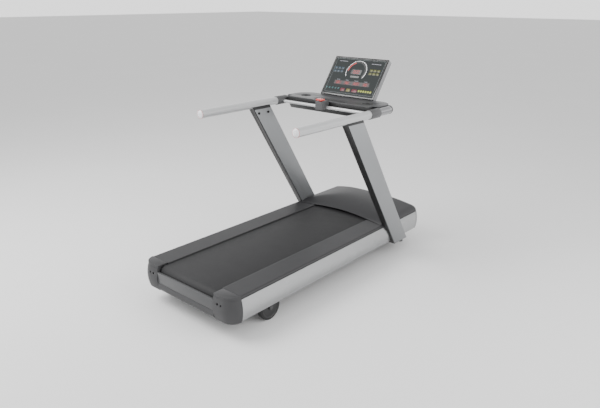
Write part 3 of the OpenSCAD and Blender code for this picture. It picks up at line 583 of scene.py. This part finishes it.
class TREADMILL_OT_hood(PieceOperator):
    """Model the domed motor hood"""
    bl_idname = "treadmill.hood"
    bl_label = "Motor hood"
    across: IntProperty(name="Cells across", description="Cells across the hood", default=96, min=8)
    along: IntProperty(name="Cells along", description="Cells along the hood", default=72, min=8)
    blend: length("Blend", "Height over which the crowns run into each other", 0.010)

    def crown(self, x, y, top):
        s = self.sizes
        across = math.sqrt(s.crown_across ** 2 - x * x) - s.crown_across
        along = math.sqrt(s.crown_along ** 2 - (y - s.crown_place) ** 2) - s.crown_along
        dome = top + (across + along - math.hypot(across - along, self.blend)) / 2
        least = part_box("foot_rail_right")[1].z + 0.001
        return (dome + least + math.hypot(dome - least, self.blend)) / 2

    def execute(self, context):
        s = self.sizes
        lo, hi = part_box("hood")
        half, corner = hi.x, s.hood_corner
        bm = bmesh.new()
        bmesh.ops.create_grid(bm, x_segments=self.across, y_segments=self.along, size=1.0)
        for v in bm.verts:
            x = half * math.sin(v.co.x * math.pi / 2)
            out = max(0.0, abs(x) - (half - corner))
            front = hi.y - corner + math.sqrt(max(0.0, corner ** 2 - out ** 2))
            share = math.sin((v.co.y + 1) * math.pi / 4)
            y = seam_place(x, s) + (front - seam_place(x, s)) * share
            rim = max(0.0, abs(x) - (half - corner)), max(0.0, y - (hi.y - corner))
            inward = corner - math.hypot(*rim) if all(rim) else min(half - abs(x), hi.y - y)
            rise = self.crown(x, y, hi.z) - lo.z
            near = min(1.0, max(0.0, inward) / (1.1 * rise))
            v.co = (x, y, lo.z + rise * math.sqrt(1 - (1 - near) ** 2))
        hood = add_piece("hood_dome", bm, "frame", "hood_plastic", replaces=["hood"])
        wall = hood.modifiers.new("wall", "SOLIDIFY")
        wall.thickness = s.moulding_wall
        wall.offset = -1
        self.cut_notches(hood)
        return {"FINISHED"}

    def cut_notches(self, hood):
        """Cuts the room that the uprights need, then keeps the result as the hood's mesh."""
        lo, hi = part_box("upright_right")
        gap, trim = 0.002, 0.007        # room round the upright, and the depth of its rear trim
        tall, past = 0.5, 0.05          # how far the cutters reach up and out past the hood
        width = (hi.y - lo.y) - (hi.z - lo.z) * self.sizes.upright_lean
        cutters = []
        for sign in (-1, 1):
            bm = bmesh.new()
            bmesh.ops.create_cube(bm, size=1.0)
            for v in bm.verts:
                z = lo.z if v.co.z < 0 else lo.z + tall
                rear = hi.y - width - self.sizes.upright_lean * (z - lo.z) - trim
                y = rear - gap if v.co.y < 0 else rear + width + trim + gap
                v.co = (sign * (lo.x - gap if v.co.x < 0 else hi.x + past), y, z)
            bmesh.ops.recalc_face_normals(bm, faces=bm.faces)
            mesh = bpy.data.meshes.new("cutter")
            bm.to_mesh(mesh)
            bm.free()
            cutter = bpy.data.objects.new("cutter", mesh)
            bpy.context.scene.collection.objects.link(cutter)
            cut = hood.modifiers.new("notch", "BOOLEAN")
            cut.operation = "DIFFERENCE"
            cut.solver = "EXACT"
            cut.object = cutter
            cutters.append(cutter)
        graph = bpy.context.evaluated_depsgraph_get()
        kept = bpy.data.meshes.new_from_object(hood.evaluated_get(graph))
        hood.modifiers.clear()
        hood.data = kept
        kept.set_sharp_from_angle(angle=CREASE)
        for cutter in cutters:
            bpy.data.objects.remove(cutter)


class TREADMILL_OT_wheels(PieceOperator):
    """Model the rear transport wheels"""
    bl_idname = "treadmill.wheels"
    bl_label = "Rear wheels"

    def execute(self, context):
        rubber_depth, shoulder, edge = 0.016, 0.006, 0.002
        bore, boss, web, step, fit = 0.00705, 0.016, 0.005, 0.001, 0.0002
        for side in SIDES:
            node = f"rear_wheel_{side}"
            lo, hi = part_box(node)
            place = (lo + hi) / 2
            radius, half = (hi.z - lo.z) / 2, (hi.x - lo.x) / 2
            tread = radius - rubber_depth
            tyre = [(-half, tread), (-half, radius - shoulder), (-half + edge, radius - edge),
                    (-half + shoulder, radius), (half - shoulder, radius), (half - edge, radius - edge),
                    (half, radius - shoulder), (half, tread)]
            near = [(half, bore), (half, boss), (half - web, boss + edge),
                    (half - web, tread - shoulder), (half - step, tread - fit)]
            hub = [(-x, r) for x, r in near] + near[::-1]
            add_piece(f"rear_tyre_{side}", turned_ring(tyre, place), node, "wheel_rubber",
                      replaces=[node])
            add_piece(f"rear_hub_{side}", turned_ring(hub, place), node, "wheel_rubber",
                      FINISHES["black_plastic"])
        return {"FINISHED"}


class TREADMILL_OT_rail_rings(PieceOperator):
    """Model the thin coloured rings at the handrails' rear ends"""
    bl_idname = "treadmill.rail_rings"
    bl_label = "Handrail rings"

    def execute(self, context):
        lo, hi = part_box("handrails")
        radius = (hi.z - lo.z) / 2
        half, deep = 0.0009, 0.0006     # half the ring's width, and how far it goes in and stands out
        bm = bmesh.new()
        for sign in (-1, 1):
            outline = [(-half, radius - deep), (-half, radius + deep),
                       (half, radius + deep), (half, radius - deep)]
            ring = turned_ring(outline, (0, 0, 0))
            place = Matrix.Translation((sign * (hi.x - radius), lo.y, (lo.z + hi.z) / 2))
            merge_in(bm, ring, place @ Matrix.Rotation(math.pi / 2, 4, "Z"))
        add_piece("rail_end_rings", bm, "frame", "red_plastic")
        return {"FINISHED"}


class TREADMILL_OT_loop_straps(PieceOperator):
    """Model the dark straps round the bends of the console loop"""
    bl_idname = "treadmill.loop_straps"
    bl_label = "Loop straps"

    def execute(self, context):
        lo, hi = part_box("loop_tube")
        tube = (hi.z - lo.z) / 2
        bend = self.sizes.loop_bend
        centre = Vector((hi.x - tube - bend, hi.y - tube - bend, (lo.z + hi.z) / 2))
        begins, spans = math.radians(18), math.radians(9)
        fit, thick = 0.0002, 0.0020
        upright = Matrix.Rotation(math.pi / 2, 3, "X")
        start = Matrix.Rotation(begins, 4, "Z")
        bm = bmesh.new()
        for sign in (-1, 1):
            strap = bmesh.new()
            for radius in (tube + fit, tube + fit + thick):
                made = bmesh.ops.create_circle(strap, segments=48, radius=radius)["verts"]
                bmesh.ops.rotate(strap, verts=made, cent=(0, 0, 0), matrix=upright)
                bmesh.ops.translate(strap, verts=made, vec=(bend, 0, 0))
            bmesh.ops.bridge_loops(strap, edges=strap.edges)
            bmesh.ops.transform(strap, matrix=start, verts=strap.verts)
            bmesh.ops.spin(strap, geom=strap.verts[:] + strap.edges[:] + strap.faces[:], cent=(0, 0, 0),
                           axis=(0, 0, 1), angle=spans, steps=5, use_merge=False)
            bmesh.ops.translate(strap, verts=strap.verts, vec=centre)
            merge_in(bm, strap, Matrix.Scale(sign, 4, (1, 0, 0)))
        add_piece("loop_straps", bm, "frame", "collar_plastic")
        return {"FINISHED"}


# Console layout: places and sizes on the face in metres, from the middle of its lower edge
GAUGE = {"centre": (0.0, 0.222), "radius": 0.094, "from": -33, "to": 211}
RED_ARC = {"radius": 0.081, "from": 112, "to": 178}
WINDOWS = [(-0.131, 0.065), (-0.044, 0.058), (0.046, 0.072), (0.135, 0.058)]
WINDOW_Y, WINDOW_H = 0.115, 0.034
KEY_ROW_Y = 0.054

# Thickness of each layer on the face in metres
SHEET = 0.0006          # printed sheet that all the others lie on
INK = 0.0002            # lines and captions
FILM = 0.0003           # window band, glass, digits and label
FOIL = 0.0004           # red arc, main window and icons
KEY = 0.0009            # small keys
WIDE_KEY = 0.0010       # coloured keys
KEY_EDGE = 0.0003       # rounding of a key's top edge

SEGMENTS = {   # which of the seven bars each digit lights: top, mid, low, and the four uprights
    "0": "tlabcd", "1": "bd", "2": "tmlbc", "3": "tmlbd", "4": "mabd", "5": "tmlad", "8": "tmlabcd",
}
BARS = {
    "t": ((0, 1), True), "m": ((0, 0), True), "l": ((0, -1), True),
    "a": ((-0.5, 0.5), False), "b": ((0.5, 0.5), False),
    "c": ((-0.5, -0.5), False), "d": ((0.5, -0.5), False),
}


class ConsoleOperator(PieceOperator):
    """Shared placing of pieces on the console's face"""

    def face(self):
        """The matrix that lays a flat drawing on the console's recessed face, with the face's size."""
        lo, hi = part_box("console_face")
        t = self.sizes.console_tilt
        deep, high = hi.y - lo.y, hi.z - lo.z
        tall = (high * math.sin(t) - deep * math.cos(t)) / (math.sin(t) ** 2 - math.cos(t) ** 2)
        foot = Vector((0, lo.y, hi.z - tall * math.sin(t)))
        matrix = Matrix.Translation(foot) @ Matrix.Rotation(t, 4, "X")
        return matrix @ Matrix.Translation((0, 0, -self.sizes.console_recess)), hi.x - lo.x, tall

    def lay(self, name, parts, material, slot="console_black"):
        bm = bmesh.new()
        matrix = self.face()[0]
        for part in parts:
            merge_in(bm, part, matrix)
        return add_piece(name, bm, "frame", slot, material)


def arc_band(centre, radius, width, start, end, z, height, steps=64):
    """A flat curved band between two angles in degrees."""
    bm = bmesh.new()
    a = bm.verts.new((radius - width / 2, 0, z))
    b = bm.verts.new((radius + width / 2, 0, z))
    edge = bm.edges.new((a, b))
    bmesh.ops.rotate(bm, verts=[a, b], cent=(0, 0, 0), matrix=Matrix.Rotation(math.radians(start), 3, "Z"))
    bmesh.ops.spin(bm, geom=[a, b, edge], cent=(0, 0, 0), axis=(0, 0, 1),
                   angle=math.radians(end - start), steps=steps, use_merge=False)
    push_out(bm, list(bm.faces), (0, 0, height))
    bmesh.ops.translate(bm, verts=bm.verts, vec=(centre[0], centre[1], 0))
    return bm


def digits(text, centre, height, z):
    """Seven-bar digits, centred on a place."""
    pitch = height * 0.72
    x0 = centre[0] - pitch * (len(text) - 1) / 2
    parts = []
    for index, figure in enumerate(text):
        for bar in SEGMENTS[figure]:
            (dx, dy), level = BARS[bar]
            long, thin = height * 0.36, height * 0.09
            size = (long, thin) if level else (thin, long)
            place = (x0 + pitch * index + dx * height * 0.44, centre[1] + dy * height * 0.42)
            parts.append(pad(place, size, thin * 0.4, z, FILM))
    return parts


class TREADMILL_OT_console_sheet(ConsoleOperator):
    """Model the printed sheet on the console and the line round it"""
    bl_idname = "treadmill.console_sheet"
    bl_label = "Console sheet"

    def execute(self, context):
        _, width, tall = self.face()
        border = self.sizes.console_border
        around = 2 * border + 0.001
        sheet = pad((0, tall / 2), (width - around, tall - around), 0.004, 0, SHEET)
        self.lay("console_sheet", [sheet],
                 moulded("console_sheet_print", self.colours.overlay, 0.55, 0.10, 0.18,
                         Specular_IOR_Level=0.25))
        left, right, low, high, thin = -0.226, 0.236, 0.024, 0.327, 0.0016
        middle = ((left + right) / 2, (low + high) / 2)
        ends = 0.0005
        lines = [pad((middle[0], y), (right - left, thin), ends, SHEET, INK) for y in (low, high)]
        lines += [pad((x, middle[1]), (thin, high - low), ends, SHEET, INK) for x in (left, right)]
        self.lay("console_line", lines, coated("console_line_print", (0.13, 0.15, 0.155)))
        return {"FINISHED"}


class TREADMILL_OT_gauge(ConsoleOperator):
    """Model the round gauge with its red arc, main display and label"""
    bl_idname = "treadmill.gauge"
    bl_label = "Console gauge"

    def execute(self, context):
        centre = GAUGE["centre"]
        ring = arc_band(centre, GAUGE["radius"], 0.0036, GAUGE["from"], GAUGE["to"], SHEET, 0.0008)
        self.lay("gauge_ring", [ring], brushed("gauge_silver", (0.50, 0.50, 0.51), 0.3))
        # A dark arc painted as shadow inside the gauge ring.
        dark = arc_band(centre, 0.083, 0.0140, GAUGE["from"], RED_ARC["from"], SHEET, FILM)
        self.lay("gauge_shadow_arc", [dark],
                 moulded("gauge_painted_shadow", (0.008, 0.009, 0.009), 0.35, 0.05))
        # The red arc is print with a painted glow.
        red = arc_band(centre, RED_ARC["radius"], 0.0100, RED_ARC["from"], RED_ARC["to"], SHEET, FOIL)
        self.lay("gauge_red_arc", [red], lit("gauge_red_print_painted_glow", (0.50, 0.022, 0.020), 0.15))
        display = (0.002, 0.218)
        window = pad(display, (0.098, 0.042), 0.003, SHEET, FOIL)
        self.lay("main_window", [window], moulded("window_smoke", (0.006, 0.005, 0.006), 0.15, 0.03))
        self.lay("main_digits", digits("000", display, 0.030, SHEET + FOIL),
                 lit("main_digit_glow", self.colours.display, 0.9))
        label = pad((0.004, 0.175), (0.084, 0.017), 0.0082, SHEET, FILM)
        self.lay("gauge_label", [label], coated("gauge_label_print", (0.09, 0.095, 0.09)))
        return {"FINISHED"}


class TREADMILL_OT_keypads(ConsoleOperator):
    """Model the two blocks of keys beside the gauge"""
    bl_idname = "treadmill.keypads"
    bl_label = "Console keypads"

    def execute(self, context):
        blocks = {"left": (-0.175, (0.020, 0.060, 0.095), (0.05, 0.13, 0.19)),
                  "right": (0.171, (0.150, 0.155, 0.012), (0.33, 0.34, 0.04))}
        pitch, half_pitch, middle = 0.034, 0.0145, 0.229
        for side, (x0, body, mark) in blocks.items():
            keys, marks = [], []
            for column in (-1, 0, 1):
                for row in (-1, 1):
                    x, y = x0 + pitch * column, middle + half_pitch * row
                    keys.append(pad((x, y), (0.030, 0.023), 0.005, SHEET, KEY, KEY_EDGE))
                    marks += digits("48" if row > 0 else "25", (x, y), 0.010, SHEET + KEY)
            self.lay(f"keypad_{side}", keys,
                     moulded(f"keypad_{side}_print", shade(body, 0.35), 0.35, 0.1))
            # The key marks are print with a painted glow.
            self.lay(f"keypad_{side}_marks", marks, lit(f"keypad_{side}_mark_print_painted_glow", mark, 0.25))
        return {"FINISHED"}


class TREADMILL_OT_windows(ConsoleOperator):
    """Model the row of four display windows with their captions"""
    bl_idname = "treadmill.windows"
    bl_label = "Console windows"

    def execute(self, context):
        glass, figures, captions = [], [], []
        band = pad((0.0, WINDOW_Y), (0.342, WINDOW_H), 0.003, SHEET, FILM)
        caption_y = WINDOW_Y + 0.025
        for x, width in WINDOWS:
            glass.append(pad((x, WINDOW_Y), (width, WINDOW_H - 0.004), 0.003, SHEET + FILM, FILM))
            figures += digits("000" if width > 0.07 else "00", (x, WINDOW_Y), 0.021, SHEET + 2 * FILM)
            captions.append(pad((x - 0.006, caption_y), (width * 0.5, 0.0035), 0.001, SHEET, INK))
        self.lay("window_band", [band],
                 moulded("window_band_print", (0.008, 0.008, 0.008), 0.3, 0.05))
        self.lay("window_glass", glass, lit("window_glass_glow", (0.060, 0.002, 0.004), 0.10))
        self.lay("window_digits", figures, lit("window_digit_glow", self.colours.display, 0.7))
        captions.append(pad((0.160, 0.299), (0.088, 0.0045), 0.001, SHEET, INK))
        captions.append(pad((-0.160, 0.306), (0.080, 0.0045), 0.001, SHEET, INK))
        self.lay("caption_bars", captions, coated("caption_print", (0.22, 0.22, 0.26)))
        return {"FINISHED"}


class TREADMILL_OT_key_row(ConsoleOperator):
    """Model the lower row of icons and coloured keys"""
    bl_idname = "treadmill.key_row"
    bl_label = "Console key row"

    def execute(self, context):
        icons = []
        for index in range(5):
            place = (-0.222 + 0.030 * index, 0.061)
            icons.append(arc_band(place, 0.0065, 0.0022, 0, 300, SHEET, FOIL, 24))
            icons.append(pad(place, (0.0030, 0.0090), 0.0008, SHEET, FOIL))
        # The icons are print with a painted glow.
        self.lay("icon_keys", icons, lit("icon_teal_print_painted_glow", (0.030, 0.165, 0.170), 0.25))
        keys = {"dark_red": [(-0.060, 0.040), (0.056, 0.050)], "olive": [(-0.004, 0.036)]}
        tints = {"dark_red": (0.130, 0.008, 0.020), "olive": (0.150, 0.120, 0.012)}
        for name, row in keys.items():
            parts = [pad((x, KEY_ROW_Y), (wide, 0.026), 0.006, SHEET, WIDE_KEY, KEY_EDGE)
                     for x, wide in row]
            self.lay(f"keys_{name}", parts, moulded(f"key_{name}_print", tints[name], 0.3, 0.08))
        dots = [pad((0.098 + 0.022 * index, KEY_ROW_Y + 0.003), (0.016, 0.018), 0.006,
                    SHEET, WIDE_KEY, KEY_EDGE) for index in range(6)]
        # The yellow-green keys are print with a painted glow.
        self.lay("keys_yellow_green", dots,
                 lit("key_yellow_green_print_painted_glow", (0.33, 0.36, 0.03), 0.15))
        return {"FINISHED"}


class TREADMILL_OT_studio(PieceOperator):
    """Set up the camera, the floor and the soft lights"""
    bl_idname = "treadmill.studio"
    bl_label = "Studio"

    def execute(self, context):
        scene = context.scene
        s = scene.treadmill_studio
        target = Vector(s.target)
        back = Vector((math.sin(s.azimuth) * math.cos(s.elevation),
                       -math.cos(s.azimuth) * math.cos(s.elevation), math.sin(s.elevation)))
        camera = bpy.data.objects.new("camera", bpy.data.cameras.new("camera"))
        scene.collection.objects.link(camera)
        camera.data.lens = s.lens
        camera.data.sensor_width = 36.0
        camera.data.clip_end = 200.0
        camera.location = target + back * s.distance
        turn = (-back).to_track_quat("-Z", "Y").to_matrix() @ Matrix.Rotation(s.roll, 3, "Z")
        camera.rotation_euler = turn.to_euler()
        scene.camera = camera
        self.floor(scene)
        self.light(scene, "key", Vector((-2.2, -2.6, 4.2)), s.key, s.light_size)
        self.light(scene, "fill", Vector((4.0, 0.5, 2.6)), s.fill, s.light_size)
        world = bpy.data.worlds.new("studio_sky")
        world.use_nodes = True
        sky = world.node_tree.nodes["Background"]
        sky.inputs["Strength"].default_value = s.sky
        self.grade(world.node_tree, sky.inputs["Color"])
        scene.world = world
        return {"FINISHED"}

    def grade(self, tree, colour):
        """Dims the sky overhead, so that metal has light and dark to reflect."""
        add, link = tree.nodes.new, tree.links.new
        split, ramp = add("ShaderNodeSeparateXYZ"), add("ShaderNodeValToRGB")
        link(add("ShaderNodeTexCoord").outputs["Generated"], split.inputs[0])
        link(split.outputs["Z"], ramp.inputs[0])
        link(ramp.outputs[0], colour)
        stops = ramp.color_ramp.elements
        tones = ((0.10, 1.0), (0.45, 0.62), (1.0, 0.40))    # height of the view and brightness there
        for stop, (height, tone) in zip((stops[0], stops[1], stops.new(1.0)), tones):
            stop.position = height
            stop.color = (tone, tone, tone, 1.0)

    def floor(self, scene):
        bm = bmesh.new()
        bmesh.ops.create_grid(bm, x_segments=1, y_segments=1, size=60.0)
        mesh = bpy.data.meshes.new("floor")
        bm.to_mesh(mesh)
        bm.free()
        paint = Finish("floor_paint", roughness=0.9)
        cloud = paint.noise(0.7)
        paint.set(Base_Color=paint.mix(cloud, (0.90, 0.90, 0.90), (0.93, 0.93, 0.93)))
        mesh.materials.append(paint.material)
        floor = bpy.data.objects.new("floor", mesh)
        floor.location.z = -0.0005
        scene.collection.objects.link(floor)

    def light(self, scene, name, place, power, size):
        data = bpy.data.lights.new(name, "AREA")
        data.energy = power
        data.size = size
        lamp = bpy.data.objects.new(name, data)
        lamp.location = place
        lamp.rotation_euler = (Vector((0, 0, 0.5)) - place).to_track_quat("-Z", "Y").to_euler()
        scene.collection.objects.link(lamp)


# ---------------------------------------------------------------- panel and registration

STEPS = [
    TREADMILL_OT_finishes, TREADMILL_OT_belt, TREADMILL_OT_foot_rails, TREADMILL_OT_hood,
    TREADMILL_OT_wheels, TREADMILL_OT_rail_rings, TREADMILL_OT_loop_straps, TREADMILL_OT_console_sheet,
    TREADMILL_OT_gauge, TREADMILL_OT_keypads, TREADMILL_OT_windows, TREADMILL_OT_key_row,
    TREADMILL_OT_studio,
]


class TREADMILL_PT_pieces(bpy.types.Panel):
    """Lists the treadmill's pieces in the sidebar"""
    bl_idname = "TREADMILL_PT_pieces"
    bl_label = "Treadmill"
    bl_space_type = "VIEW_3D"
    bl_region_type = "UI"
    bl_category = "Treadmill"

    def draw(self, context):
        for step in STEPS:
            self.layout.operator(step.bl_idname)


GROUPS = {
    "treadmill_sizes": TreadmillSizes,
    "treadmill_colours": TreadmillColours,
    "treadmill_studio": StudioSettings,
}
CLASSES = [*GROUPS.values(), *STEPS, TREADMILL_PT_pieces]


def register():
    for cls in CLASSES:
        bpy.utils.register_class(cls)
    for name, group in GROUPS.items():
        setattr(bpy.types.Scene, name, PointerProperty(type=group))


def unregister():
    for name in GROUPS:
        delattr(bpy.types.Scene, name)
    for cls in reversed(CLASSES):
        bpy.utils.unregister_class(cls)


def main():
    """Builds everything in order."""
    register()
    for step in STEPS:
        family, action = step.bl_idname.split(".")
        getattr(getattr(bpy.ops, family), action)()


if __name__ == "__main__":
    main()
